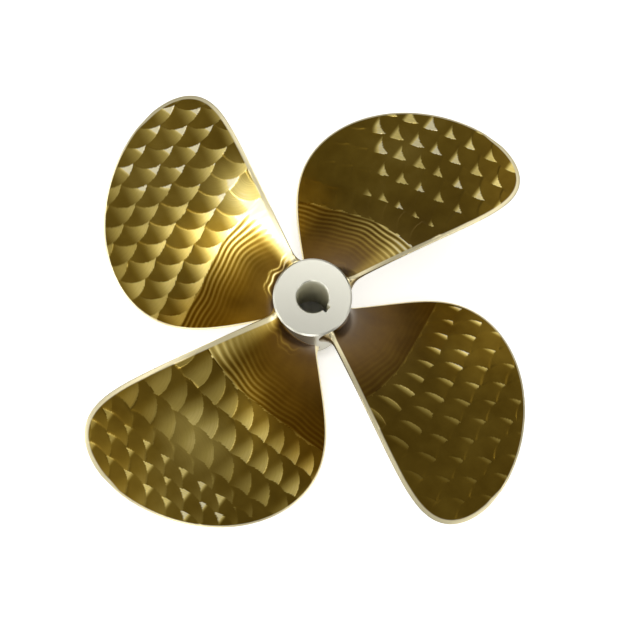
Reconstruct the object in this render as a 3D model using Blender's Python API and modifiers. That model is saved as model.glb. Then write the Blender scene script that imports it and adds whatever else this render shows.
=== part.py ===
"""A fixed-pitch ship propeller with four blades, cast in one piece in bronze.

The hub's forward face lies on z = 0, its axis is Z, and +Z points aft, so the blades'
pressure faces look up. The keyway and the reference line of the first blade lie on +X.
The blade is drawn as a propeller drawing does it: edges, thickness and pitch by radius,
on cylinders about the shaft, with the pressure face a plain screw surface.
Seen from aft the propeller turns to the left when it drives ahead.
"""

import math

import bmesh
import bpy
from mathutils import Vector

# Driving dimensions in metres, angles in radians
DIAMETER = 1.200
BLADE_COUNT = 4

HUB_LENGTH = 0.290
HUB_RADIUS_AFT = 0.088
HUB_RADIUS_FORWARD = 0.092
HUB_CHAMFER = 0.004
BORE_RADIUS_AFT = 0.036
BORE_TAPER = 1 / 15  # on the diameter
BORE_CHAMFER = 0.002
KEYWAY_WIDTH = 0.018
KEYWAY_DEPTH = 0.009

PITCH_RATIO = 0.95  # pitch over diameter at 0.7 of the radius
PITCH_FALL = 0.30  # share of it lost from the root to the tip
ROOT_PITCH_CUT = 0.30  # more of it taken off where the blade meets the hub
ROOT_PITCH_REACH = 0.50  # share of the radius where that cut ends
ROOT_PITCH_SPAN = 0.35

BLADE_SPREAD = math.radians(74)  # angle that the root covers, seen along the shaft
SPREAD_POWER = 3.5
TIP_POWER = 0.55
TIP_BLUNTNESS = 0.006
OUTLINE_START = 0.20  # share of the radius where the outline starts to close
MID_ANGLE = math.radians(12)  # middle of the root, from the reference line
SKEW = math.radians(-19.5)  # how far the tip is swept back from there
SKEW_POWER = 3.4
REFERENCE_HEIGHT = 0.211

ROOT_THICKNESS = 0.050  # as if the blade ran on to the shaft's axis
TIP_THICKNESS = 0.005
EDGE_THICKNESS = 0.004
BACK_FULLNESS = 0.9
FACE_FILLET = 0.030
EDGE_FILLET = 0.008
FILLET_FOOT = 0.12  # share of the fillet's height that is hidden in the hub's surface

# How finely the curved surfaces are cut into flats
CHORD_STEPS = 14
SPAN_STEPS = 16
FILLET_STATIONS = (FILLET_FOOT, 0.32, 0.62, 1.0)
STATION_CROWDING = 1.7
TURNED_STEPS = 64

RADIUS = DIAMETER / 2
HUB_RADIUS = (HUB_RADIUS_AFT + HUB_RADIUS_FORWARD) / 2
BORE_RADIUS_FORWARD = BORE_RADIUS_AFT + HUB_LENGTH * BORE_TAPER / 2
BLADE_FOOT_RADIUS = 0.070
PAST_FACE = 0.020

BRONZE_COLOUR = (0.46, 0.35, 0.13, 1)
BRONZE_ROUGHNESS = 0.3


def pitch_ratio_at(share):
    """Pitch over diameter at a share of the radius."""
    near_hub = min(max((ROOT_PITCH_REACH - share) / ROOT_PITCH_SPAN, 0), 1)
    return PITCH_RATIO * (1 - PITCH_FALL * (share - 0.7) - ROOT_PITCH_CUT * near_hub**2)


def half_spread_at(share):
    """Half the angle between the leading and trailing edges."""
    along = min(max((share - OUTLINE_START) / (1 - OUTLINE_START), 0), 1)
    left = 1 - (1 - TIP_BLUNTNESS) * along**SPREAD_POWER
    return BLADE_SPREAD / 2 * left**TIP_POWER


def middle_angle_at(share):
    """Angle of the middle of the blade from its reference line."""
    along = min(max((share - OUTLINE_START) / (1 - OUTLINE_START), 0), 1)
    return MID_ANGLE + SKEW * along**SKEW_POWER


def thickness_at(share, chord):
    """Thickness of the section, from its edges at chord -1 and 1 to its middle at 0."""
    middle = ROOT_THICKNESS + (TIP_THICKNESS - ROOT_THICKNESS) * share
    return EDGE_THICKNESS + (middle - EDGE_THICKNESS) * (1 - chord**2) ** BACK_FULLNESS


def fillet_at(radius):
    """Share of the root fillet's radius that it stands out by here."""
    height = min(max((radius - HUB_RADIUS) / FACE_FILLET, FILLET_FOOT), 1)
    return 1 - math.sqrt(1 - (1 - height) ** 2)


def blade_point(radius, chord, is_back):
    """Point of the blade: chord runs from -1, trailing edge, to 1, leading edge."""
    share = radius / RADIUS
    rise = pitch_ratio_at(share) * RADIUS / math.pi
    slope = math.atan2(rise, radius)
    turn = middle_angle_at(share) + half_spread_at(share) * chord
    height = REFERENCE_HEIGHT - rise * turn
    fillet = fillet_at(radius)
    out = FACE_FILLET * fillet * (1 - 0.75 * chord**6)
    if is_back:
        out = -out - thickness_at(share, chord)
    along = EDGE_FILLET * fillet * chord**5
    turn += (out * math.sin(slope) + along * math.cos(slope)) / radius
    height += out * math.cos(slope) - along * math.sin(slope)
    return Vector((radius * math.cos(turn), radius * math.sin(turn), height))


def blade_stations():
    """Radii of the blade's sections, closer together in the fillet and near the tip."""
    stations = [BLADE_FOOT_RADIUS]
    stations += [HUB_RADIUS + FACE_FILLET * height for height in FILLET_STATIONS]
    start = stations[-1]
    for step in range(1, SPAN_STEPS + 1):
        share = 1 - (1 - step / SPAN_STEPS) ** STATION_CROWDING
        stations.append(start + (RADIUS - start) * share)
    return stations


def add_object(name, mesh, collection, material):
    """Put a mesh into the scene as a named object."""
    item = bpy.data.objects.new(name, mesh)
    collection.objects.link(item)
    mesh.materials.append(material)
    return item


def blade_mesh():
    """One blade: a flat grid given a back, then bent to the blade's stations."""
    stations = blade_stations()
    shape = bmesh.new()
    bmesh.ops.create_grid(
        shape, x_segments=CHORD_STEPS, y_segments=len(stations) - 1, size=1
    )
    made = bmesh.ops.extrude_face_region(shape, geom=shape.faces[:])["geom"]
    back = {part for part in made if isinstance(part, bmesh.types.BMVert)}
    for vertex in shape.verts:
        chord = math.sin(vertex.co.x * math.pi / 2)
        row = round((vertex.co.y + 1) / 2 * (len(stations) - 1))
        vertex.co = blade_point(stations[row], chord, vertex in back)
    bmesh.ops.recalc_face_normals(shape, faces=shape.faces[:])
    mesh = bpy.data.meshes.new("blade")
    shape.to_mesh(mesh)
    shape.free()
    return mesh


def hub_profile():
    """Half section of the hub, down its outer side and up its bore."""
    return [
        (HUB_RADIUS_AFT - HUB_CHAMFER, HUB_LENGTH),
        (HUB_RADIUS_AFT, HUB_LENGTH - HUB_CHAMFER),
        (HUB_RADIUS_FORWARD, HUB_CHAMFER),
        (HUB_RADIUS_FORWARD - HUB_CHAMFER, 0),
        (BORE_RADIUS_FORWARD + BORE_CHAMFER, 0),
        (BORE_RADIUS_FORWARD, BORE_CHAMFER),
        (BORE_RADIUS_AFT, HUB_LENGTH - BORE_CHAMFER),
        (BORE_RADIUS_AFT + BORE_CHAMFER, HUB_LENGTH),
    ]


def add_hub(collection, material):
    """The hub, turned about the shaft's axis, with its tapered bore."""
    profile = hub_profile()
    mesh = bpy.data.meshes.new("propeller")
    points = [(radius, 0, height) for radius, height in profile]
    edges = [(index, (index + 1) % len(profile)) for index in range(len(profile))]
    mesh.from_pydata(points, edges, [])
    hub = add_object("propeller", mesh, collection, material)
    screw = hub.modifiers.new("Turn", "SCREW")
    screw.axis = "Z"
    screw.steps = TURNED_STEPS
    screw.render_steps = TURNED_STEPS
    screw.use_merge_vertices = True
    screw.merge_threshold = 0.0001
    return hub


def add_keyway_cutter(collection, material):
    """A bar along the bore's tapered wall, which cuts the keyway on +X."""
    length = HUB_LENGTH + 2 * PAST_FACE
    lean = math.atan(BORE_TAPER / 2)
    middle = (BORE_RADIUS_AFT + BORE_RADIUS_FORWARD) / 2
    shape = bmesh.new()
    bmesh.ops.create_cube(shape, size=1)
    bmesh.ops.scale(shape, vec=(2 * KEYWAY_DEPTH, KEYWAY_WIDTH, length), verts=shape.verts)
    mesh = bpy.data.meshes.new("keyway_cutter")
    shape.to_mesh(mesh)
    shape.free()
    cutter = add_object("keyway_cutter", mesh, collection, material)
    cutter.location = (middle, 0, HUB_LENGTH / 2)
    cutter.rotation_euler = (0, -lean, 0)
    return cutter


def cut_or_join(item, other, operation):
    """Add a Boolean modifier with another object."""
    boolean = item.modifiers.new(other.name, "BOOLEAN")
    boolean.operation = operation
    boolean.object = other
    other.hide_render = True
    other.display_type = "WIRE"


def bronze():
    """Cast bronze, ground bright."""
    material = bpy.data.materials.new("ground_bronze")
    material.use_nodes = True
    shader = material.node_tree.nodes["Principled BSDF"]
    shader.inputs["Base Color"].default_value = BRONZE_COLOUR
    shader.inputs["Roughness"].default_value = BRONZE_ROUGHNESS
    shader.inputs["Metallic"].default_value = 1
    return material


def new_collection(name):
    """Add a collection to the scene."""
    collection = bpy.data.collections.new(name)
    bpy.context.scene.collection.children.link(collection)
    return collection


def main():
    """Build the hub, join the blades to it and cut the keyway."""
    for item in list(bpy.data.objects):
        bpy.data.objects.remove(item)
    parts = new_collection("ship_propeller")
    tools = new_collection("blade_and_keyway_shapes")
    material = bronze()
    hub = add_hub(parts, material)
    mesh = blade_mesh()
    for index in range(BLADE_COUNT):
        blade = bpy.data.objects.new(f"blade_shape_{index + 1}", mesh)
        tools.objects.link(blade)
        blade.rotation_euler.z = index * math.tau / BLADE_COUNT
        cut_or_join(hub, blade, "UNION")
    mesh.materials.append(material)
    cut_or_join(hub, add_keyway_cutter(tools, material), "DIFFERENCE")
    hub.data.shade_smooth()


main()
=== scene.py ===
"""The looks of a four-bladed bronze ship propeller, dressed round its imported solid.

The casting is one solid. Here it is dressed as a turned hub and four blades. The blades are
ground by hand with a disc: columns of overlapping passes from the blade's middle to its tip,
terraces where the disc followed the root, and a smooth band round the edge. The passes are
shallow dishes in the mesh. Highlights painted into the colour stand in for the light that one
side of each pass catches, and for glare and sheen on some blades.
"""

import logging
import math
from collections.abc import Iterator
from dataclasses import dataclass
from enum import Enum

import bmesh
import bpy
import numpy as np
from bmesh.types import BMesh, BMFace
from bpy.types import Material, Mesh, Node, NodeSocket, NodeTree, Object
from mathutils import Matrix, Vector


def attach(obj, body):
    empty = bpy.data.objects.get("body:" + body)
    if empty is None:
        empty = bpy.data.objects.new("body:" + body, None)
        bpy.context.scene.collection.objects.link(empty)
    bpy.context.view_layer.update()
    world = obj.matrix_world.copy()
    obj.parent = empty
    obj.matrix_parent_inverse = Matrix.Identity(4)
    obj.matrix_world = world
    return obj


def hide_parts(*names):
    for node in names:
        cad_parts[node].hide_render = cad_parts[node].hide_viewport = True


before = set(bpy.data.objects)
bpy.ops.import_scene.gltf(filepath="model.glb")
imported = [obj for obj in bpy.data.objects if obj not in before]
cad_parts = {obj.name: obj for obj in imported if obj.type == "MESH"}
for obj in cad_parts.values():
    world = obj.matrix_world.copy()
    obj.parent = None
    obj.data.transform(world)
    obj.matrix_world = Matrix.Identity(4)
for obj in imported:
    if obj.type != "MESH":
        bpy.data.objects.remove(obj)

Array = np.ndarray
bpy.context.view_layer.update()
CAD_NODE = "propeller"
BODY = "root"

log = logging.getLogger("propeller")


class Side(Enum):
    """Where a point of a blade lies, and its place in the flat grid it is made from."""

    FACE = 0.0
    RIM = -0.5
    BACK = -1.0


def linear(hex_colour: str) -> tuple[float, float, float, float]:
    """Turn an sRGB colour into the linear one that shaders take.

    Args:
        hex_colour: the colour as six hex digits after a hash.

    Returns:
        Red, green, blue and an alpha of 1.
    """
    parts = [int(hex_colour[place : place + 2], 16) / 255 for place in (1, 3, 5)]
    curved = [part / 12.92 if part <= 0.04045 else ((part + 0.055) / 1.055) ** 2.4 for part in parts]
    return (*curved, 1.0)


def add_node(
    tree: NodeTree, kind: str, inputs: dict[str | int, object] | None = None, **settings: object
) -> Node:
    """Add a shader node with its settings, values and links.

    Args:
        tree: the node tree that gets it.
        kind: the node's type in Blender.
        inputs: a value, or another node's output, for each socket named or numbered.
        settings: the node's own options.

    Returns:
        The new node.
    """
    node = tree.nodes.new(kind)
    for name, setting in settings.items():
        setattr(node, name, setting)
    for socket, value in (inputs or {}).items():
        if isinstance(value, NodeSocket):
            tree.links.new(value, node.inputs[socket])
        else:
            node.inputs[socket].default_value = value
    return node


def smooth_step(value: Array, low: float, high: float) -> Array:
    """Rise smoothly from 0 at low to 1 at high.

    Args:
        value: the numbers to judge.
        low: where the rise starts.
        high: where it ends.

    Returns:
        A share from 0 to 1 for each number.
    """
    share = np.clip((value - low) / (high - low), 0.0, 1.0)
    return share * share * (3.0 - 2.0 * share)


def new_material(name: str) -> tuple[Material, NodeTree, Node]:
    """Start a node material.

    Args:
        name: the real material and how it was made.

    Returns:
        The material, its node tree and its main shader.
    """
    material = bpy.data.materials.new(name)
    material.use_nodes = True
    tree = material.node_tree
    return material, tree, tree.nodes["Principled BSDF"]


def add_mesh(shape: BMesh, name: str) -> Object:
    """Put a shape in the scene.

    Args:
        shape: the shape, which is freed here.
        name: the object's name.

    Returns:
        The object, with no material yet.
    """
    mesh = bpy.data.meshes.new(name)
    shape.to_mesh(mesh)
    shape.free()
    item = bpy.data.objects.new(name, mesh)
    bpy.context.scene.collection.objects.link(item)
    return item


def finish_piece(shape: BMesh, name: str, crease: float) -> Object:
    """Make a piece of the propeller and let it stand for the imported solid.

    Args:
        shape: the shape, which is freed here.
        name: the piece's name.
        crease: the angle between faces past which their edge stays sharp.

    Returns:
        The piece, in the scene, with no material yet.
    """
    piece = add_mesh(shape, name)
    piece.data.shade_smooth()
    piece.data.set_sharp_from_angle(angle=crease)
    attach(piece, BODY)
    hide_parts(CAD_NODE)
    return piece


@dataclass(frozen=True)
class GroundBronze:
    """Manganese bronze, disc-ground: painted highlights of pale metal in a dark gold film, under fine curved
    scratches.

    The pale metal on one side of each pass is a painted highlight, standing in for the light that
    side catches. Elsewhere the film gives the tiles their dark olive cast.
    """

    film: str = "#4f3806"
    thin_film: str = "#796120"
    # the next three colours are painted highlights, from dim to brightest
    dim_highlight_metal: str = "#baa252"
    highlight_metal: str = "#fbe48c"
    highlight_peak_metal: str = "#fff3c8"
    # the bare metal of the edge band, paled further by a painted sheen
    band_metal_and_sheen: str = "#ece0b6"
    root_tint: str = "#b29a48"  # the root's film is darker and browner
    film_end: float = 0.14  # shares of brightness at which one colour gives way to the next
    dim_highlight_end: float = 0.45
    highlight_end: float = 0.84
    film_share: float = 0.16  # how bright the film's clouds are at most
    roughness: float = 0.30
    # the roughness where the painted highlight is full
    highlight_roughness: float = 0.36
    band_roughness: float = 0.38
    scratch_spacing: float = 0.0022  # drawn coarser than the real 0.3 mm, which would not show
    scratch_depth: float = 0.00002
    scratch_tone: float = 0.15  # how much the scratches streak the painted highlights
    cloud_size: float = 0.060

    def material(self) -> Material:
        """Build the node material.

        Returns:
            The material that the blades wear.
        """
        material, tree, shader = new_material("disc_ground_manganese_bronze")
        place = add_node(tree, "ShaderNodeTexCoord").outputs["Object"]
        passes = add_node(tree, "ShaderNodeUVMap", uv_map=BladeMap.PASS.value).outputs["UV"]
        # the last of these is the painted highlight's strength
        band, root, fresh = (
            add_node(tree, "ShaderNodeAttribute", attribute_name=kind.value).outputs["Fac"]
            for kind in (BladeMap.BAND, BladeMap.ROOT, BladeMap.HIGHLIGHT)
        )
        clouds = add_node(
            tree, "ShaderNodeTexNoise", {"Vector": place, "Scale": 1 / self.cloud_size, "Detail": 4.0}
        )
        reach = add_node(tree, "ShaderNodeVectorMath", {0: passes}, operation="LENGTH")
        arcs = add_node(
            tree,
            "ShaderNodeTexNoise",
            {"W": reach.outputs["Value"], "Scale": 1 / self.scratch_spacing, "Detail": 2.0},
            noise_dimensions="1D",
        )
        tone = self.scratch_tone / 2
        streaks = add_node(  # the noise seldom leaves 0.3 to 0.7
            tree, "ShaderNodeMapRange", {0: arcs.outputs["Fac"], 1: 0.3, 2: 0.7, 3: 1 - tone, 4: 1 + tone}
        )
        # the painted highlight, streaked by the scratches
        cut = add_node(tree, "ShaderNodeMath", {0: fresh, 1: streaks.outputs[0]}, operation="MULTIPLY")
        brightness = add_node(
            tree,
            "ShaderNodeMath",
            {0: clouds.outputs["Fac"], 1: self.film_share, 2: cut.outputs[0]},
            operation="MULTIPLY_ADD",
        )
        colour = self.film_colour(tree, brightness.outputs[0])
        tinted = add_node(
            tree,
            "ShaderNodeMix",
            {0: root, 6: colour, 7: linear(self.root_tint)},
            data_type="RGBA",
            blend_type="MULTIPLY",
        )
        edged = add_node(
            tree,
            "ShaderNodeMix",
            {0: band, 6: tinted.outputs[2], 7: linear(self.band_metal_and_sheen)},
            data_type="RGBA",
        )
        tree.links.new(edged.outputs[2], shader.inputs["Base Color"])

        rough = add_node(
            tree, "ShaderNodeMapRange", {0: fresh, 3: self.roughness, 4: self.highlight_roughness}
        )
        roughness = add_node(tree, "ShaderNodeMix", {0: band, 2: rough.outputs[0], 3: self.band_roughness})
        tree.links.new(roughness.outputs[0], shader.inputs["Roughness"])
        scratches = add_node(
            tree,
            "ShaderNodeBump",
            {"Height": arcs.outputs["Fac"], "Distance": self.scratch_depth, "Strength": 1.0},
        )
        tree.links.new(scratches.outputs["Normal"], shader.inputs["Normal"])
        shader.inputs["Metallic"].default_value = 1.0
        return material

    def film_colour(self, tree: NodeTree, brightness: NodeSocket) -> NodeSocket:
        """Colour the metal from the thickest film to the brightest painted highlight.

        Args:
            tree: the material's node tree.
            brightness: the film's clouds and the painted highlight, from 0 to 1.

        Returns:
            The colour's socket.
        """
        ramp = add_node(tree, "ShaderNodeValToRGB", {0: brightness})
        stops = ramp.color_ramp.elements
        stops[0].color = linear(self.film)
        stops[1].color = linear(self.highlight_peak_metal)
        stops.new(self.film_end).color = linear(self.thin_film)
        stops.new(self.dim_highlight_end).color = linear(self.dim_highlight_metal)
        stops.new(self.highlight_end).color = linear(self.highlight_metal)
        return ramp.outputs["Color"]


@dataclass(frozen=True)
class TurnedBronze:
    """The same bronze faced in a lathe: paler, with faint rings about the shaft's axis."""

    metal: str = "#bfbdb0"
    roughness: float = 0.36
    ring_spacing: float = 0.0040  # drawn coarser than the tool's real 0.5 mm feed
    ring_depth: float = 0.00003

    def material(self) -> Material:
        """Build the node material.

        Returns:
            The material that the hub wears.
        """
        material, tree, shader = new_material("turned_manganese_bronze")
        place = add_node(tree, "ShaderNodeTexCoord").outputs["Object"]
        across = add_node(tree, "ShaderNodeVectorMath", {0: place, 1: (1.0, 1.0, 0.0)}, operation="MULTIPLY")
        radius = add_node(tree, "ShaderNodeVectorMath", {0: across.outputs[0]}, operation="LENGTH")
        rings = add_node(
            tree,
            "ShaderNodeTexNoise",
            {"W": radius.outputs["Value"], "Scale": 1 / self.ring_spacing, "Detail": 2.0},
            noise_dimensions="1D",
        )
        bump = add_node(
            tree,
            "ShaderNodeBump",
            {"Height": rings.outputs["Fac"], "Distance": self.ring_depth, "Strength": 1.0},
        )
        tree.links.new(bump.outputs["Normal"], shader.inputs["Normal"])
        shader.inputs["Base Color"].default_value = linear(self.metal)
        shader.inputs["Roughness"].default_value = self.roughness
        shader.inputs["Metallic"].default_value = 1.0
        return material


@dataclass(frozen=True)
class BoredBronze:
    """The bore's wall under the shaft's old grease, which hides the metal: a dull olive grey."""

    grease: str = "#f0edda"
    roughness: float = 0.5
    stain: float = 0.1  # how far the stains change the roughness
    stain_size: float = 0.025

    def material(self) -> Material:
        """Build the node material.

        Returns:
            The material that the bore wears.
        """
        material, tree, shader = new_material("bored_bronze_with_old_grease")
        place = add_node(tree, "ShaderNodeTexCoord").outputs["Object"]
        stains = add_node(
            tree, "ShaderNodeTexNoise", {"Vector": place, "Scale": 1 / self.stain_size, "Detail": 3.0}
        )
        rough = add_node(
            tree,
            "ShaderNodeMapRange",
            {0: stains.outputs["Fac"], 3: self.roughness - self.stain, 4: self.roughness + self.stain},
        )
        tree.links.new(rough.outputs[0], shader.inputs["Roughness"])
        shader.inputs["Base Color"].default_value = linear(self.grease)
        return material


class BladeMap(Enum):
    """Names of what a blade's mesh tells its material about each place."""

    PASS = "place_in_pass"  # metres from the middle of the disc's last pass
    BAND = "edge_band"  # 1 on the smooth band round the edge
    ROOT = "root_film"  # 1 where the film is whole inwards of the first column of passes
    HIGHLIGHT = "fresh_cut"  # the strength of the painted highlight, from 0 to 1


@dataclass(frozen=True)
class ScrewBlade:
    """A blade's form, with the same sizes as the solid's, in metres and radians.

    Its place is given by a radius and a chord that runs from -1, the trailing edge, to 1, the
    leading edge, with the blade's reference line on +X.
    """

    radius: float = 0.5998  # 0.2 mm inside the solid, whose facets cut its corners
    hub_radius: float = 0.090
    foot_radius: float = 0.070
    pitch_ratio: float = 0.95
    pitch_fall: float = 0.30
    root_pitch_cut: float = 0.30
    root_pitch_reach: float = 0.50
    root_pitch_span: float = 0.35
    spread: float = math.radians(74)
    spread_power: float = 3.5
    tip_power: float = 0.55
    tip_bluntness: float = 0.006
    outline_start: float = 0.20
    mid_angle: float = math.radians(12)
    skew: float = math.radians(-19.5)
    skew_power: float = 3.4
    reference_height: float = 0.211
    root_thickness: float = 0.050
    tip_thickness: float = 0.005
    edge_thickness: float = 0.004
    back_fullness: float = 0.9
    face_fillet: float = 0.030
    edge_fillet: float = 0.008
    fillet_foot: float = 0.03
    fillet_fade: float = 0.75  # how far the face's fillet dies away at the edges
    rim_round: float = 0.0009
    outline_steps: int = 500  # points on each edge that distances are measured to
    tip_steps: int = 40
    batches: int = 40  # goes in which they are measured, to save memory

    def pitch_ratio_at(self, share: Array) -> Array:
        """Pitch over diameter at a share of the radius."""
        near_hub = np.clip((self.root_pitch_reach - share) / self.root_pitch_span, 0.0, 1.0)
        return self.pitch_ratio * (1 - self.pitch_fall * (share - 0.7) - self.root_pitch_cut * near_hub**2)

    def outline_share(self, share: Array) -> Array:
        """How far along the closing part of the outline a share of the radius is."""
        return np.clip((share - self.outline_start) / (1 - self.outline_start), 0.0, 1.0)

    def half_spread_at(self, share: Array) -> Array:
        """Half the angle between the leading and trailing edges."""
        left = 1 - (1 - self.tip_bluntness) * self.outline_share(share) ** self.spread_power
        return self.spread / 2 * left**self.tip_power

    def middle_at(self, share: Array) -> Array:
        """Angle of the blade's middle from its reference line."""
        return self.mid_angle + self.skew * self.outline_share(share) ** self.skew_power

    def thickness_at(self, share: Array, chord: Array) -> Array:
        """Thickness of the section at a chord."""
        middle = np.interp(share, (0.0, 1.0), (self.root_thickness, self.tip_thickness)) - self.edge_thickness
        return self.edge_thickness + middle * np.clip(1 - chord**2, 0.0, 1.0) ** self.back_fullness

    def fillet_at(self, radius: Array) -> Array:
        """Share of the root fillet's radius that it stands out by."""
        height = np.clip((radius - self.hub_radius) / self.face_fillet, self.fillet_foot, 1.0)
        return 1 - np.sqrt(1 - (1 - height) ** 2)

    def point_at(self, radius: Array, chord: Array, side: Array) -> Array:
        """Places on the blade.

        Args:
            radius: distance from the shaft's axis.
            chord: from -1, the trailing edge, to 1, the leading edge.
            side: a Side's value for each point.

        Returns:
            One row of X, Y and Z for each point.
        """
        trim = np.where(side == Side.RIM.value, 0.0, self.rim_round)
        radius = radius - trim * (radius - self.foot_radius) / (self.radius - self.foot_radius)
        share = radius / self.radius
        half_width = radius * self.half_spread_at(share)
        chord = chord * (1 - trim / half_width)
        rise = self.pitch_ratio_at(share) * self.radius / math.pi
        slope = np.arctan2(rise, radius)
        turn = self.middle_at(share) + self.half_spread_at(share) * chord
        height = self.reference_height - rise * turn
        fillet = self.fillet_at(radius)
        out = self.face_fillet * fillet * (1 - self.fillet_fade * chord**6)
        out = out + side * (2 * out + self.thickness_at(share, chord))
        along = self.edge_fillet * fillet * chord**5
        turn = turn + (out * np.sin(slope) + along * np.cos(slope)) / radius
        height = height + out * np.cos(slope) - along * np.sin(slope)
        return np.stack([radius * np.cos(turn), radius * np.sin(turn), height], axis=-1)

    def normal_at(self, radius: Array, chord: Array, side: Array) -> Array:
        """Unit normals of the face, or of the back turned the same way, found by small steps.

        Args:
            radius: distance from the shaft's axis.
            chord: from -1, the trailing edge, to 1, the leading edge.
            side: a Side's value for each point.

        Returns:
            One row of X, Y and Z for each point.
        """
        step = 1e-5
        inward = np.where(radius > self.radius - 2 * step, -step, step)
        across = np.where(chord > 0, -step, step)
        here = self.point_at(radius, chord, side)
        out = (self.point_at(radius + inward, chord, side) - here) * np.sign(inward)[:, None]
        over = (self.point_at(radius, chord + across, side) - here) * np.sign(across)[:, None]
        normal = np.cross(out, over)
        return normal / np.linalg.norm(normal, axis=1, keepdims=True)

    def edge_distance(self, plan: Array) -> Array:
        """Distance from the blade's outline, seen along the shaft.

        Args:
            plan: one row of X and Y for each point.

        Returns:
            The distances in metres.
        """
        inwards = np.linspace(1, 0, self.outline_steps) ** 2
        radius = self.hub_radius + (self.radius - self.hub_radius) * (1 - inwards)
        edge_radius = np.concatenate([radius, np.full(self.tip_steps, self.radius), radius[::-1]])
        edge = np.ones(self.outline_steps)
        chord = np.concatenate([-edge, np.linspace(-1, 1, self.tip_steps), edge])
        share = edge_radius / self.radius
        turn = self.middle_at(share) + self.half_spread_at(share) * chord
        outline = edge_radius * np.exp(1j * turn)
        points = np.array_split(plan[:, 0] + 1j * plan[:, 1], self.batches)
        return np.concatenate([np.abs(part[:, None] - outline[None, :]).min(axis=1) for part in points])


@dataclass(frozen=True)
class PassColumn:
    """One column of disc passes down the blade, in metres in the blade's plan."""

    rim: float  # X of the rims' innermost points, level with the column's middle
    pitch: float  # from one pass to the next


USUAL_COLUMNS = (
    PassColumn(0.255, 0.0460),
    PassColumn(0.313, 0.0468),
    PassColumn(0.3755, 0.0525),
    PassColumn(0.4325, 0.0545),
    PassColumn(0.484, 0.0550),
    PassColumn(0.539, 0.0565),
    PassColumn(0.590, 0.0570),
)
CROWDED_COLUMNS = USUAL_COLUMNS[:4] + (
    PassColumn(0.4657, 0.0500),
    PassColumn(0.4995, 0.0490),
    PassColumn(0.539, 0.0500),
    PassColumn(0.590, 0.0570),
)


@dataclass(frozen=True)
class DiscPasses:
    """The pattern that the grinding disc leaves: dishes in columns, each later one over the last.

    The columns run across the blade and are laid outwards. Within a column the grinder works
    from the leading edge to the trailing edge.
    """

    mark_radius: float = 0.066
    bend_middle: float = -0.030  # the Y above which the columns bow back towards the hub
    lower_bend: float = 1.3  # how strongly the first column bows below the next Y
    lower_start: float = 0.030
    lower_fade: float = 0.4  # how much of that is left from one column to the next
    lowest: float = -0.28
    highest: float = 0.30
    dish_x: float = -0.034  # the lowest place of a dish, from the middle of the disc's mark
    dish_y: float = 0.020
    dish_curve: float = 0.55  # one over the dish's radius
    mean_depth: float = 0.0002
    jitter: float = 0.0012
    seed: int = 1

    def bow(self, y: Array | float, bend: float, number: int) -> Array | float:
        """How far a column bows back towards the hub.

        Args:
            y: where along the column.
            bend: how strongly its leading part bows.
            number: the column's number, from the root.

        Returns:
            The bow in metres.
        """
        leading = bend * np.maximum(y - self.bend_middle, 0.0) ** 2
        lower_bend = self.lower_bend * self.lower_fade**number
        return leading + lower_bend * np.maximum(self.lower_start - y, 0.0) ** 2

    def passes(self, grind: "BladeGrind") -> Iterator[Array]:
        """The middles of the passes in the order in which they are ground.

        Args:
            grind: how the blade was ground.

        Yields:
            X and Y of each middle.
        """
        misses = np.random.default_rng(self.seed + grind.quarter)
        for number, (column, cusp) in enumerate(zip(grind.columns, grind.cusps, strict=True)):
            last = math.floor((self.highest - cusp) / column.pitch)
            first = math.ceil((self.lowest - cusp) / column.pitch)
            for row in range(last, first - 1, -1):
                y = cusp + (row - 0.5) * column.pitch
                x = column.rim + grind.shift + self.mark_radius - self.bow(y, grind.bend, number)
                yield np.array([x, y]) + misses.normal(0.0, self.jitter, 2)

    def offsets(self, plan: Array, middles: list[Array]) -> tuple[Array, Array]:
        """Find each point's place in the last pass that reached it.

        Args:
            plan: one row of X and Y for each point.
            middles: the passes' middles in order.

        Returns:
            Rows of X and Y from that pass's middle, and its number, or -1 where none reached.
        """
        offset = np.zeros_like(plan)
        number = np.full(len(plan), -1)
        for index, middle in enumerate(middles):
            away = plan - middle
            reached = np.einsum("ij,ij->i", away, away) < self.mark_radius**2
            offset[reached] = away[reached]
            number[reached] = index
        return offset, number

    def height(self, offset: Array) -> Array:
        """Height of the dish at a place in a pass.

        Args:
            offset: rows of X and Y from the pass's middle.

        Returns:
            Metres above the blade's own surface.
        """
        from_low = (offset[:, 0] - self.dish_x) ** 2 + (offset[:, 1] - self.dish_y) ** 2
        return self.dish_curve / 2 * from_low - self.mean_depth


@dataclass(frozen=True)
class FilletMarks:
    """Two wavy tool marks on the root fillet, one outside the other, in metres, drawn as painted highlight
    lines.
    """

    hub_radius: float = 0.090
    # for each wave, its height, the radians that it runs for and where it starts
    waves: tuple[tuple[float, float, float], ...] = ((0.006, 0.11, 0.0), (0.003, 0.043, 1.0))
    # for each mark, its distance from the hub, its breadth and its strength
    lines: tuple[tuple[float, float, float], ...] = ((0.018, 0.0025, 1.0), (0.030, 0.002, 0.6))
    fade: tuple[float, float] = (-0.055, -0.02)  # the values of -Y from none to whole

    def strength(self, plan: Array) -> Array:
        """How strong the highlights painted along the marks are.

        Args:
            plan: rows of X and Y.

        Returns:
            A share from 0 to 1 for each place.
        """
        turn = np.arctan2(plan[:, 1], plan[:, 0])
        wave = sum(height * np.sin(turn / run + start) for height, run, start in self.waves)
        out = np.hypot(plan[:, 0], plan[:, 1]) - self.hub_radius - wave
        marks = sum(share * np.exp(-(((out - place) / breadth) ** 2)) for place, breadth, share in self.lines)
        return marks * smooth_step(-plan[:, 1], *self.fade)


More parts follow.
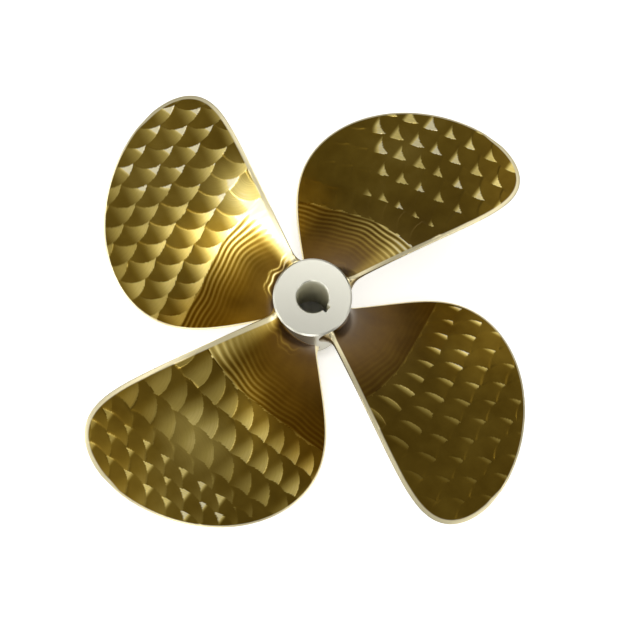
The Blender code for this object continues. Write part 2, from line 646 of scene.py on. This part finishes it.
@dataclass(frozen=True)
class RootTerraces:
    """Low steps that follow the first column of passes and fade towards the hub."""

    spacing: float = 0.0118
    reach: float = 0.057525  # how far inwards they fade
    depth: float = 0.00040
    edge_lift: float = 0.0002
    edge_reach: float = 0.02  # how far inwards that lift reaches
    curl_start: float = 0.02  # the Y below which the steps bend away round the hub
    strays: tuple[tuple[float, float], ...] = ((0.22, 0.031), (0.10, 0.013))  # steps, over a length
    least: float = 0.25  # their strength towards the leading edge, over that towards the trailing one
    change: tuple[float, float] = (-0.12, 0.06)  # the values of -Y between which it grows
    crest_width: float = 0.40  # the breadth of a crest's painted highlight line, as a share of the spacing
    # the highlight painted along the crests
    crest_highlight: float = 0.85
    field_freshness: float = 0.06
    hub_radius: float = 0.090
    glare_breadth: float = 0.035  # how far from the axis the painted glare ends at the hub
    glare_spread: float = 0.40  # and how much farther for each metre outwards
    glare_start: float = 0.35  # the share of that where it begins
    marks: FilletMarks = FilletMarks()

    def phase(self, inwards: Array, plan: Array, curl: float) -> Array:
        """Steps counted from the first column, with the grinder's unsteadiness."""
        uncurled = inwards / (1 + curl * np.maximum(self.curl_start - plan[:, 1], 0.0) ** 2)
        return uncurled / self.spacing + sum(far * np.sin(plan[:, 1] / run) for far, run in self.strays)

    def strength(self, inwards: Array, plan: Array) -> Array:
        """How strong the steps are: most near the first column and towards the trailing edge."""
        trailing = smooth_step(-plan[:, 1], *self.change)
        return np.exp(-((inwards / self.reach) ** 2)) * (self.least + (1 - self.least) * trailing)

    def height(self, inwards: Array, plan: Array, curl: float) -> Array:
        """Height of the steps.

        Args:
            inwards: how far a place lies towards the hub from the first column.
            plan: rows of X and Y.
            curl: how strongly the steps bend round the hub.

        Returns:
            Metres above the blade's own surface.
        """
        wave = 0.5 + 0.5 * np.cos(math.tau * self.phase(inwards, plan, curl))
        lift = self.edge_lift * np.exp(-inwards / self.edge_reach)
        return self.depth * self.strength(inwards, plan) * wave + lift

    def highlight_at(self, inwards: Array, plan: Array, grind: "BladeGrind") -> Array:
        """How strong the painted highlights on the root are, over a faint even lift of its colour.

        Args:
            inwards: how far a place lies towards the hub from the first column.
            plan: rows of X and Y.
            grind: how this blade was ground.

        Returns:
            A share from 0 to 1 for each place.
        """
        off_crest = np.abs((self.phase(inwards, plan, grind.terrace_curl) + 0.5) % 1.0 - 0.5)
        crests = 1 - smooth_step(off_crest, 0.0, self.crest_width)
        # highlights painted along the terraces' crests
        steps = grind.terrace_highlight * self.crest_highlight * self.strength(inwards, plan) * crests
        # painted glare on the trailing part of the root
        breadth = self.glare_breadth + self.glare_spread * (plan[:, 0] - self.hub_radius)
        glare = grind.root_glare * smooth_step(-plan[:, 1] / breadth, self.glare_start, 1.0)
        # highlights painted along the tool's marks on the fillet
        marks = grind.fillet_mark_highlight * self.marks.strength(plan)
        return np.clip(steps + self.field_freshness + glare + marks, 0.0, 1.0)


@dataclass(frozen=True)
class PaintedSheen:
    """A softly bounded patch of painted sheen over the passes; the strongest is painted glare."""

    x: float
    y: float
    reach_x: float
    reach_y: float
    # the painted sheen's strength
    fresh: float

    def highlight_at(self, plan: Array) -> Array:
        """How strong the painted sheen is at each place, from 0 to 1."""
        away = ((plan[:, 0] - self.x) / self.reach_x) ** 2 + ((plan[:, 1] - self.y) / self.reach_y) ** 2
        return self.fresh * np.exp(-away)


@dataclass(frozen=True)
class PaintedHighlight:
    """A highlight painted on one side of each pass, standing in for the light that side catches.

    Directions are degrees about the pass's middle, anticlockwise from the blade's outward line.
    """

    # the direction about the pass's middle of the side that gets the painted highlight
    lean: float
    begin_inner: float  # metres from the middle to where the painted highlight begins, near the root
    begin_outer: float  # and near the tip
    softness: float
    highlight_inner: float  # the painted highlight's strength near the root
    highlight_outer: float  # and near the tip
    ramp: tuple[float, float] = (0.30, 0.50)  # between which radii the one gives way to the other
    limit: tuple[float, float] = (1.0, 1.0)  # the Y above which no highlight is painted, at two radii
    limit_radii: tuple[float, float] = (0.36, 0.50)
    limit_softness: float = 0.012
    rise: float = 0.0  # its gain in strength per metre towards the leading edge

    def highlight_at(self, place: Array, plan: Array) -> Array:
        """How strong the painted highlight is.

        Args:
            place: rows of X and Y from the pass's middle.
            plan: rows of X and Y in the blade's plan.

        Returns:
            A share from 0 to 1 for each place.
        """
        lean = math.radians(self.lean)
        outer = smooth_step(plan[:, 0], *self.ramp)
        begin = self.begin_inner + (self.begin_outer - self.begin_inner) * outer
        along = place[:, 0] * math.cos(lean) + place[:, 1] * math.sin(lean) - begin
        # the side of the pass that gets the painted highlight
        cut = smooth_step(along, -self.softness, self.softness)
        limit = np.interp(plan[:, 0], self.limit_radii, self.limit)
        below = 1 - smooth_step(plan[:, 1] - limit, -self.limit_softness, self.limit_softness)
        region = self.highlight_inner + (self.highlight_outer - self.highlight_inner) * outer
        return np.clip(cut * below * region * (1 + self.rise * plan[:, 1]), 0.0, 1.0)


@dataclass(frozen=True)
class BladeGrind:
    """How one blade was ground: where its passes fell, and where its highlights, glare and sheen are painted.
    """

    name: str
    quarter: int  # quarter turns from the keyway
    cusps: tuple[float, ...]  # for each column, the Y of one meeting of two passes
    bend: float  # how strongly the columns bow
    # the highlights painted on its passes
    cuts: tuple[PaintedHighlight, ...]
    terrace_depth: float  # how deep its root's terraces are, as a share of the deepest
    terrace_highlight: float  # the strength of the highlights painted on their crests, where 1 is full
    terrace_curl: float  # how strongly they bend round the hub
    shift: float = 0.0  # how far out the whole pattern lies
    root_glare: float = 0.0  # the strength of the painted glare on the trailing part of its root, from 0 to 1
    fillet_mark_highlight: float = 0.0  # the strength of the highlights painted along the tool's marks on its fillet, from 0 to 1
    # patches of painted sheen
    sheens: tuple[PaintedSheen, ...] = ()
    columns: tuple[PassColumn, ...] = USUAL_COLUMNS


# the painted highlights, glare and sheen differ from blade to blade with the light each one catches
GRINDS = (
    BladeGrind(
        name="blade_by_keyway",
        quarter=0,
        cusps=(0.0830, 0.0780, 0.0725, 0.0655, 0.0540, 0.0540, 0.0540),
        bend=0.3,
        cuts=(PaintedHighlight(95.0, 0.058, 0.060, 0.009, 0.60, 0.34, rise=5.0),),
        terrace_depth=0.15,
        terrace_highlight=0.08,
        terrace_curl=20.0,
        sheens=(PaintedSheen(0.50, 0.02, 0.12, 0.14, 0.025),),
    ),
    BladeGrind(
        name="blade_second",
        quarter=1,
        cusps=(0.0690, 0.0690, 0.0685, 0.0615, 0.0500, 0.0500, 0.0500),
        bend=0.6,
        cuts=(PaintedHighlight(272.0, 0.013, 0.000, 0.006, 0.0, 0.74, (0.24, 0.32), limit=(0.08, 0.21)),),
        terrace_depth=1.0,
        terrace_highlight=1.0,
        terrace_curl=25.0,
        root_glare=0.22,
        fillet_mark_highlight=0.10,
        sheens=(PaintedSheen(0.45, 0.07, 0.17, 0.13, 0.09), PaintedSheen(0.20, -0.06, 0.06, 0.05, 0.06)),
    ),
    BladeGrind(
        name="blade_opposite",
        quarter=2,
        cusps=(0.115, 0.1125, 0.1075, 0.1025, 0.0875, 0.075, 0.075),
        shift=0.006,
        bend=0.35,
        cuts=(
            PaintedHighlight(250.0, 0.000, 0.010, 0.026, 0.66, 0.44, rise=-1.2),
            PaintedHighlight(274.0, 0.032, 0.003, 0.006, 0.0, 0.80, (0.34, 0.42), limit=(-0.06, 0.05)),
        ),
        terrace_depth=1.0,
        terrace_highlight=1.4,
        terrace_curl=100.0,
        root_glare=0.8,
        fillet_mark_highlight=0.9,
        sheens=(
            PaintedSheen(0.275, -0.085, 0.075, 0.045, 0.75),
            PaintedSheen(0.50, 0.0, 0.16, 0.20, 0.09),
            PaintedSheen(0.17, 0.0, 0.10, 0.10, 0.05),
        ),
    ),
    BladeGrind(
        name="blade_fourth",
        quarter=3,
        cusps=(0.0770, 0.0770, 0.0765, 0.0695, 0.1122, 0.0928, 0.0761, 0.0580),
        shift=0.006,
        bend=0.15,
        cuts=(
            PaintedHighlight(76.0, 0.032, 0.032, 0.022, 0.38, 0.10, (0.34, 0.48), rise=2.5),
            PaintedHighlight(272.0, 0.010, 0.003, 0.005, 0.0, 0.60, (0.44, 0.47), limit=(0.08, 0.18), rise=3.0),
        ),
        terrace_depth=0.8,
        terrace_highlight=0.48,
        terrace_curl=60.0,
        root_glare=0.38,
        fillet_mark_highlight=0.12,
        sheens=(PaintedSheen(0.40, -0.01, 0.055, 0.075, 0.28), PaintedSheen(0.50, 0.05, 0.12, 0.12, 0.08)),
        columns=CROWDED_COLUMNS,
    ),
)


@dataclass(frozen=True)
class Blade:
    """One blade: its form, what the grinder did to it and how finely it is modelled."""

    grind: BladeGrind
    form: ScrewBlade = ScrewBlade()
    passes: DiscPasses = DiscPasses()
    terraces: RootTerraces = RootTerraces()
    chord_cells: int = 124
    span_cells: int = 116
    foot_share: float = 0.02
    fillet_share: float = 0.12
    fillet_crowding: float = 1.5
    station_crowding: float = 1.35
    chord_crowding: float = 0.15
    crease: float = math.radians(35)
    bands: tuple[float, float] = (0.005, 0.0085)  # its width at the leading and trailing edges
    band_change: float = 0.4  # the chord either side of the middle where one becomes the other
    band_blend: float = 0.15  # half the breadth of its inner edge, as a share of its width
    band_drop: float = 0.0016
    band_power: float = 1.3  # how it falls to the edge
    bare_band: float = 0.3  # how much of the band's colour, with its painted sheen, shows on the rim and back
    film_start: float = 0.003  # how far inwards of the first column the root's film is whole
    film_loss: float = 1.3  # how fast a stronger painted highlight takes it away
    smear: float = 0.0007  # the disc's soft rubber rounds its marks this far
    uneven: float = 0.2  # how much one pass differs from the next in its painted highlight
    seed: int = 20

    def station_at(self, along: Array) -> Array:
        """Space the grid's rows, with more of them in the fillet and at the tip.

        Args:
            along: share of the grid's height.

        Returns:
            The radius of each row.
        """
        form = self.form
        start = form.hub_radius + form.face_fillet
        in_foot = np.clip(along / self.foot_share, 0, 1)
        foot = form.foot_radius + (form.hub_radius - form.foot_radius) * in_foot
        up = np.clip((along - self.foot_share) / (self.fillet_share - self.foot_share), 0, 1)
        out = np.clip((along - self.fillet_share) / (1 - self.fillet_share), 0, 1)
        outer = (form.radius - start) * (1 - (1 - out) ** self.station_crowding)
        return foot + form.face_fillet * up**self.fillet_crowding + outer

    def grid(self) -> BMesh:
        """A flat body of cells, finer on its face than on its back, joined round the edge.

        Returns:
            The cells, with X for the chord, Y for the span and Z for the side.
        """
        shape = bmesh.new()
        bmesh.ops.create_grid(shape, x_segments=self.chord_cells, y_segments=self.span_cells, size=1)
        front = shape.faces[:]
        for side in (Side.RIM, Side.FACE):
            made = bmesh.ops.extrude_face_region(shape, geom=front)["geom"]
            front = [part for part in made if isinstance(part, BMFace)]
            for vertex in {vertex for face in front for vertex in face.verts}:
                vertex.co.z = side.value + 1
        edges = list({edge for face in front for edge in face.edges})
        bmesh.ops.subdivide_edges(shape, edges=edges, cuts=1, use_grid_fill=True)
        bmesh.ops.translate(shape, vec=(0, 0, -1), verts=shape.verts)
        bmesh.ops.recalc_face_normals(shape, faces=shape.faces[:])
        return shape

    def inwards(self, plan: Array) -> Array:
        """How far a place lies towards the hub from the first column's rims."""
        bowed = self.passes.bow(plan[:, 1], self.grind.bend, 0)
        return np.maximum(self.grind.columns[0].rim + self.grind.shift - bowed - plan[:, 0], 0.0)

    def inset(self, plan: Array, chord: Array) -> Array:
        """How far a place lies from the outline, as a share of the smooth band's width there."""
        trailing = smooth_step(-chord, -self.band_change, self.band_change)
        return self.form.edge_distance(plan) / np.interp(trailing, (0.0, 1.0), self.bands)

    def relief(self, plan: Array, inset: Array, middles: list[Array]) -> Array:
        """How far the ground face stands above the plain screw surface.

        Args:
            plan: rows of X and Y.
            inset: each point's distance from the outline, as a share of the smooth band's width.
            middles: the passes' middles in order.

        Returns:
            Metres along the surface's normal.
        """
        inwards = self.inwards(plan)
        total = np.zeros(len(plan))
        nudges = [(x, y) for x in (-self.smear, 0.0, self.smear) for y in (-self.smear, 0.0, self.smear)]
        for nudge in nudges:
            offset, number = self.passes.offsets(plan + nudge, middles)
            steps = self.grind.terrace_depth * self.terraces.height(inwards, plan, self.grind.terrace_curl)
            total += np.where(number >= 0, self.passes.height(offset), steps)
        field = smooth_step(inset, 1 - self.band_blend, 1 + self.band_blend)
        band = -self.band_drop * (1 - np.clip(inset, 0, 1)) ** self.band_power
        return field * total / len(nudges) + band

    def build(self, material: Material) -> Object:
        """Model the blade and dress it.

        Args:
            material: the ground bronze.

        Returns:
            The finished piece.
        """
        piece = finish_piece(self.grid(), self.grind.name, self.crease)
        mesh = piece.data
        count = len(mesh.vertices)
        flat = np.empty(count * 3, np.float32)
        mesh.vertices.foreach_get("co", flat)
        cells = flat.reshape(-1, 3).astype(float)
        side = np.round(cells[:, 2] * 2) / 2
        chord = cells[:, 0] * (1 + self.chord_crowding) - self.chord_crowding * cells[:, 0] ** 3
        radius = self.station_at((cells[:, 1] + 1) / 2)
        points = self.form.point_at(radius, chord, side)
        normals = self.form.normal_at(radius, chord, side)
        plan = points[:, :2].copy()
        inset = self.inset(plan, chord)
        middles = list(self.passes.passes(self.grind))
        relief = np.where(side == Side.FACE.value, self.relief(plan, inset, middles), 0.0)
        points += normals * relief[:, None]
        turn = Matrix.Rotation(self.grind.quarter * math.pi / 2, 3, "Z")
        points = points @ np.array(turn).T
        mesh.vertices.foreach_set("co", points.astype(np.float32).ravel())
        self.write_maps(mesh, plan, inset, side, middles)
        mesh.set_sharp_from_angle(angle=self.crease)
        mesh.update()
        mesh.materials.append(material)
        log.info("%s: %d points, %d faces", piece.name, count, len(mesh.polygons))
        return piece

    def write_maps(self, mesh: Mesh, plan: Array, inset: Array, side: Array, middles: list[Array]) -> None:
        """Write what the material reads: place in a pass, edge band and the painted highlights.

        Args:
            mesh: the blade's mesh.
            plan: rows of X and Y of its vertices.
            inset: their distances from the outline, as shares of the smooth band's width.
            side: the side each lies on.
            middles: the passes' middles in order.
        """
        corners = np.empty(len(mesh.loops), np.int32)
        mesh.loops.foreach_get("vertex_index", corners)
        starts = np.empty(len(mesh.polygons), np.int32)
        sizes = np.empty(len(mesh.polygons), np.int32)
        mesh.polygons.foreach_get("loop_start", starts)
        mesh.polygons.foreach_get("loop_total", sizes)
        middle_of_face = np.add.reduceat(plan[corners], starts, axis=0) / sizes[:, None]
        _, number = self.passes.offsets(middle_of_face, middles)
        owner = np.array(middles + [np.zeros(2)])[number]
        spot = plan[corners]
        place = spot - np.repeat(owner, sizes, axis=0)
        layer = mesh.uv_layers.new(name=BladeMap.PASS.value)
        layer.data.foreach_set("uv", place.astype(np.float32).ravel())
        band = 1 - smooth_step(inset, 1 - self.band_blend, 1 + self.band_blend)
        band = np.where(side == Side.FACE.value, band, self.bare_band)

        chance = np.random.default_rng(self.seed + self.grind.quarter)
        luck = chance.uniform(1 - self.uneven, 1 + self.uneven, len(middles) + 1)
        # highlights painted on the passes and the root, with painted sheen over them
        cut = sum(part.highlight_at(place, spot) for part in self.grind.cuts)
        inwards = self.inwards(spot)
        root = self.terraces.highlight_at(inwards, spot, self.grind)
        fresh = np.where(np.repeat(number, sizes) >= 0, cut * np.repeat(luck[number], sizes), root)
        fresh = np.clip(fresh + sum(sheen.highlight_at(spot) for sheen in self.grind.sheens), 0.0, 1.0)
        film = smooth_step(inwards, 0.0, self.film_start) * np.clip(1 - self.film_loss * fresh, 0.0, 1.0)
        for kind, domain, values in (
            (BladeMap.BAND, "POINT", band),
            (BladeMap.ROOT, "CORNER", film),
            (BladeMap.HIGHLIGHT, "CORNER", fresh),
        ):
            attribute = mesh.attributes.new(kind.value, "FLOAT", domain)
            attribute.data.foreach_set("value", values.astype(np.float32))


@dataclass(frozen=True)
class Hub:
    """The hub with its turned faces, tapered bore and keyway, in metres."""

    length: float = 0.290
    radius_aft: float = 0.088
    radius_forward: float = 0.092
    chamfer: float = 0.004
    bore_aft: float = 0.036
    bore_taper: float = 1 / 15
    bore_chamfer: float = 0.002
    keyway_width: float = 0.018
    keyway_depth: float = 0.009
    key_bar_share: float = 1.2  # the length of the bar that cuts the keyway, over the hub's
    bore_margin: float = 1.02  # how far past the bore's widest part its wall is looked for
    steps: int = 192
    edge_round: float = 0.0008
    round_past: float = 0.5  # radians between two faces past which their edge is rounded
    crease: float = math.radians(12)

    @property
    def bore_forward(self) -> float:
        """Radius of the bore's large end."""
        return self.bore_aft + self.length * self.bore_taper / 2

    def profile(self) -> list[tuple[float, float]]:
        """Draw the half section, down the outer side and up the bore.

        Returns:
            The radius and height of each corner.
        """
        return [
            (self.radius_aft - self.chamfer, self.length),
            (self.radius_aft, self.length - self.chamfer),
            (self.radius_forward, self.chamfer),
            (self.radius_forward - self.chamfer, 0.0),
            (self.bore_forward + self.bore_chamfer, 0.0),
            (self.bore_forward, self.bore_chamfer),
            (self.bore_aft, self.length - self.bore_chamfer),
            (self.bore_aft + self.bore_chamfer, self.length),
        ]

    def turned(self) -> BMesh:
        """Turn the hub in one full spin about the shaft's axis.

        Returns:
            The hub with its bore and no keyway.
        """
        shape = bmesh.new()
        corners = [shape.verts.new((radius, 0.0, height)) for radius, height in self.profile()]
        for start, end in zip(corners, corners[1:] + corners[:1]):
            shape.edges.new((start, end))
        bmesh.ops.spin(
            shape, geom=shape.verts[:] + shape.edges[:], cent=(0, 0, 0), axis=(0, 0, 1),
            angle=math.tau, steps=self.steps, use_merge=True,
        )
        bmesh.ops.remove_doubles(shape, verts=shape.verts, dist=1e-5)
        bmesh.ops.recalc_face_normals(shape, faces=shape.faces[:])
        return shape

    def key_bar(self) -> Object:
        """Make the bar that is cut out of the bore's wall, leaning with its taper.

        Returns:
            The bar, which stands in the scene until the cut is made.
        """
        shape = bmesh.new()
        bmesh.ops.create_cube(shape, size=1)
        size = (2 * self.keyway_depth, self.keyway_width, self.length * self.key_bar_share)
        bmesh.ops.scale(shape, vec=size, verts=shape.verts)
        lean = math.atan(self.bore_taper / 2)
        bmesh.ops.rotate(shape, cent=(0, 0, 0), matrix=Matrix.Rotation(-lean, 3, "Y"), verts=shape.verts)
        middle = (self.bore_aft + self.bore_forward) / 2
        bmesh.ops.translate(shape, vec=(middle, 0, self.length / 2), verts=shape.verts)
        return add_mesh(shape, "key_bar")

    def build(self, turned: Material, bored: Material) -> Object:
        """Model the hub, cut its keyway and dress it.

        Args:
            turned: the bronze of its turned faces.
            bored: the bronze of its bore.

        Returns:
            The finished piece.
        """
        piece = finish_piece(self.turned(), "hub", self.crease)
        bar = self.key_bar()
        cut = piece.modifiers.new("Keyway", "BOOLEAN")
        cut.operation = "DIFFERENCE"
        cut.object = bar
        scene_state = bpy.context.evaluated_depsgraph_get()
        mesh = bpy.data.meshes.new_from_object(piece.evaluated_get(scene_state))
        plain = piece.data
        piece.modifiers.remove(cut)
        piece.data = mesh
        for spare in (plain, bar.data):
            bpy.data.meshes.remove(spare)
        mesh.name = "hub"
        mesh.materials.clear()
        mesh.materials.append(turned)
        mesh.materials.append(bored)
        shape = bmesh.new()
        shape.from_mesh(mesh)
        rims = [edge for edge in shape.edges if edge.is_manifold and edge.calc_face_angle() > self.round_past]
        bmesh.ops.bevel(
            shape, geom=rims, offset=self.edge_round, affect="EDGES",
            segments=2, profile=0.5, material=-1, clamp_overlap=True,
        )
        bore_limit = (self.bore_forward + self.keyway_depth + self.bore_chamfer) * self.bore_margin
        for face in shape.faces:
            middle = face.calc_center_median()
            inside = math.hypot(middle.x, middle.y) < bore_limit and abs(face.normal.z) < 0.5
            face.material_index = int(inside)
        shape.to_mesh(mesh)
        shape.free()
        mesh.shade_smooth()
        mesh.set_sharp_from_angle(angle=self.crease)
        log.info("%s: %d points, %d faces", piece.name, len(mesh.vertices), len(mesh.polygons))
        return piece


@dataclass(frozen=True)
class Softbox:
    """A square soft white light that faces the propeller."""

    name: str
    azimuth: float  # degrees from +X, anticlockwise seen from above
    lean: float  # degrees from straight up
    size: float
    power: float
    distance: float = 2.6

    def build(self, aim: Vector) -> Object:
        """Add the light.

        Args:
            aim: the point that it faces.

        Returns:
            The light.
        """
        light = bpy.data.lights.new(self.name, "AREA")
        light.shape = "SQUARE"
        light.size = self.size
        light.energy = self.power
        azimuth, lean = math.radians(self.azimuth), math.radians(self.lean)
        level = math.sin(lean)
        away = Vector((math.cos(azimuth) * level, math.sin(azimuth) * level, math.cos(lean)))
        item = bpy.data.objects.new(self.name, light)
        item.location = aim + away * self.distance
        item.rotation_euler = away.to_track_quat("Z", "Y").to_euler()
        bpy.context.scene.collection.objects.link(item)
        return item


@dataclass(frozen=True)
class Studio:
    """A pale floor, soft lights and the camera at the photograph's angle."""

    floor_radius: float = 6.0
    floor_gap: float = 0.0005  # how far it lies under the hub
    floor_colour: str = "#f4f4f2"
    floor_roughness: float = 0.9
    floor_glow: float = 0.64  # the floor is a lit table, so it stays white under soft lights
    unlit_radius: float = 0.06  # but not under the hub, so the bore is dark at its far end
    world_colour: str = "#ffffff"
    world_strength: float = 0.35
    aim: tuple[float, float, float] = (0.0, 0.0, 0.2)
    # the camera's place, axes and lens come from a fit of the blades' outline to the photograph's
    eye: tuple[float, float, float] = (0.1476, -0.2188, 1.5812)
    eye_right: tuple[float, float, float] = (0.76794, 0.63966, 0.03312)
    eye_up: tuple[float, float, float] = (-0.63577, 0.75495, 0.16073)
    lens: float = 33.497
    softboxes: tuple[Softbox, ...] = (
        Softbox("left_low", 240.0, 78.0, 0.9, 9.0),
        Softbox("left", 250.0, 62.0, 0.9, 8.5),
        Softbox("far_left_low", 208.0, 76.0, 0.9, 9.8),
        Softbox("near_left_low", 270.0, 78.0, 0.8, 5.9),
        Softbox("near_low", 305.0, 78.0, 1.2, 14.3),
        Softbox("far_high", 120.0, 25.0, 0.8, 7.8),
        Softbox("left_high", 180.0, 27.0, 0.9, 8.5),
        Softbox("right_high", 60.0, 25.0, 0.8, 7.8),
        Softbox("near_high", 290.0, 25.0, 0.9, 5.9),
        Softbox("right_low", 10.0, 74.0, 1.4, 9.1),
        Softbox("far_side", 100.0, 50.0, 1.2, 4.5),
    )

    def build_floor(self) -> Object:
        """Lay the round pale floor under the propeller.

        Returns:
            The floor.
        """
        shape = bmesh.new()
        bmesh.ops.create_circle(shape, cap_ends=True, segments=96, radius=self.floor_radius)
        bmesh.ops.translate(shape, vec=(0, 0, -self.floor_gap), verts=shape.verts)
        floor = add_mesh(shape, "floor")
        material, tree, shader = new_material("matt_white_paint")
        shader.inputs["Base Color"].default_value = linear(self.floor_colour)
        shader.inputs["Roughness"].default_value = self.floor_roughness
        shader.inputs["Emission Color"].default_value = linear(self.floor_colour)
        place = add_node(tree, "ShaderNodeTexCoord").outputs["Object"]
        away = add_node(tree, "ShaderNodeVectorMath", {0: place}, operation="LENGTH")
        glow = add_node(
            tree,
            "ShaderNodeMapRange",
            {0: away.outputs["Value"], 1: self.unlit_radius, 2: 2 * self.unlit_radius, 4: self.floor_glow},
        )
        tree.links.new(glow.outputs[0], shader.inputs["Emission Strength"])
        floor.data.materials.append(material)
        return floor

    def build_world(self) -> None:
        """The even light of the room."""
        world = bpy.data.worlds.new("studio_room")
        world.use_nodes = True
        background = world.node_tree.nodes["Background"]
        background.inputs["Color"].default_value = linear(self.world_colour)
        background.inputs["Strength"].default_value = self.world_strength
        bpy.context.scene.world = world

    def build_camera(self) -> None:
        """The camera, with its own axes as the photograph gives them."""
        camera = bpy.data.cameras.new("camera")
        camera.sensor_fit = "HORIZONTAL"
        camera.lens = self.lens
        camera.clip_start = 0.05
        camera.clip_end = 50
        item = bpy.data.objects.new("camera", camera)
        right, up = Vector(self.eye_right), Vector(self.eye_up)
        turn = Matrix((right, up, right.cross(up))).transposed()
        item.matrix_world = Matrix.Translation(self.eye) @ turn.to_4x4()
        bpy.context.scene.collection.objects.link(item)
        bpy.context.scene.camera = item

    def build(self) -> None:
        """Set the whole stage."""
        self.build_camera()
        self.build_world()
        self.build_floor()
        for softbox in self.softboxes:
            softbox.build(Vector(self.aim))
        bpy.context.scene.view_settings.view_transform = "Standard"
        log.info("studio: %d soft lights", len(self.softboxes))


def main() -> None:
    """Dress the propeller and set the stage round it."""
    logging.basicConfig(level=logging.INFO, format="%(name)s: %(message)s")
    Studio().build()
    Hub().build(TurnedBronze().material(), BoredBronze().material())
    ground = GroundBronze().material()
    for grind in GRINDS:
        Blade(grind).build(ground)


if __name__ == "__main__":
    main()
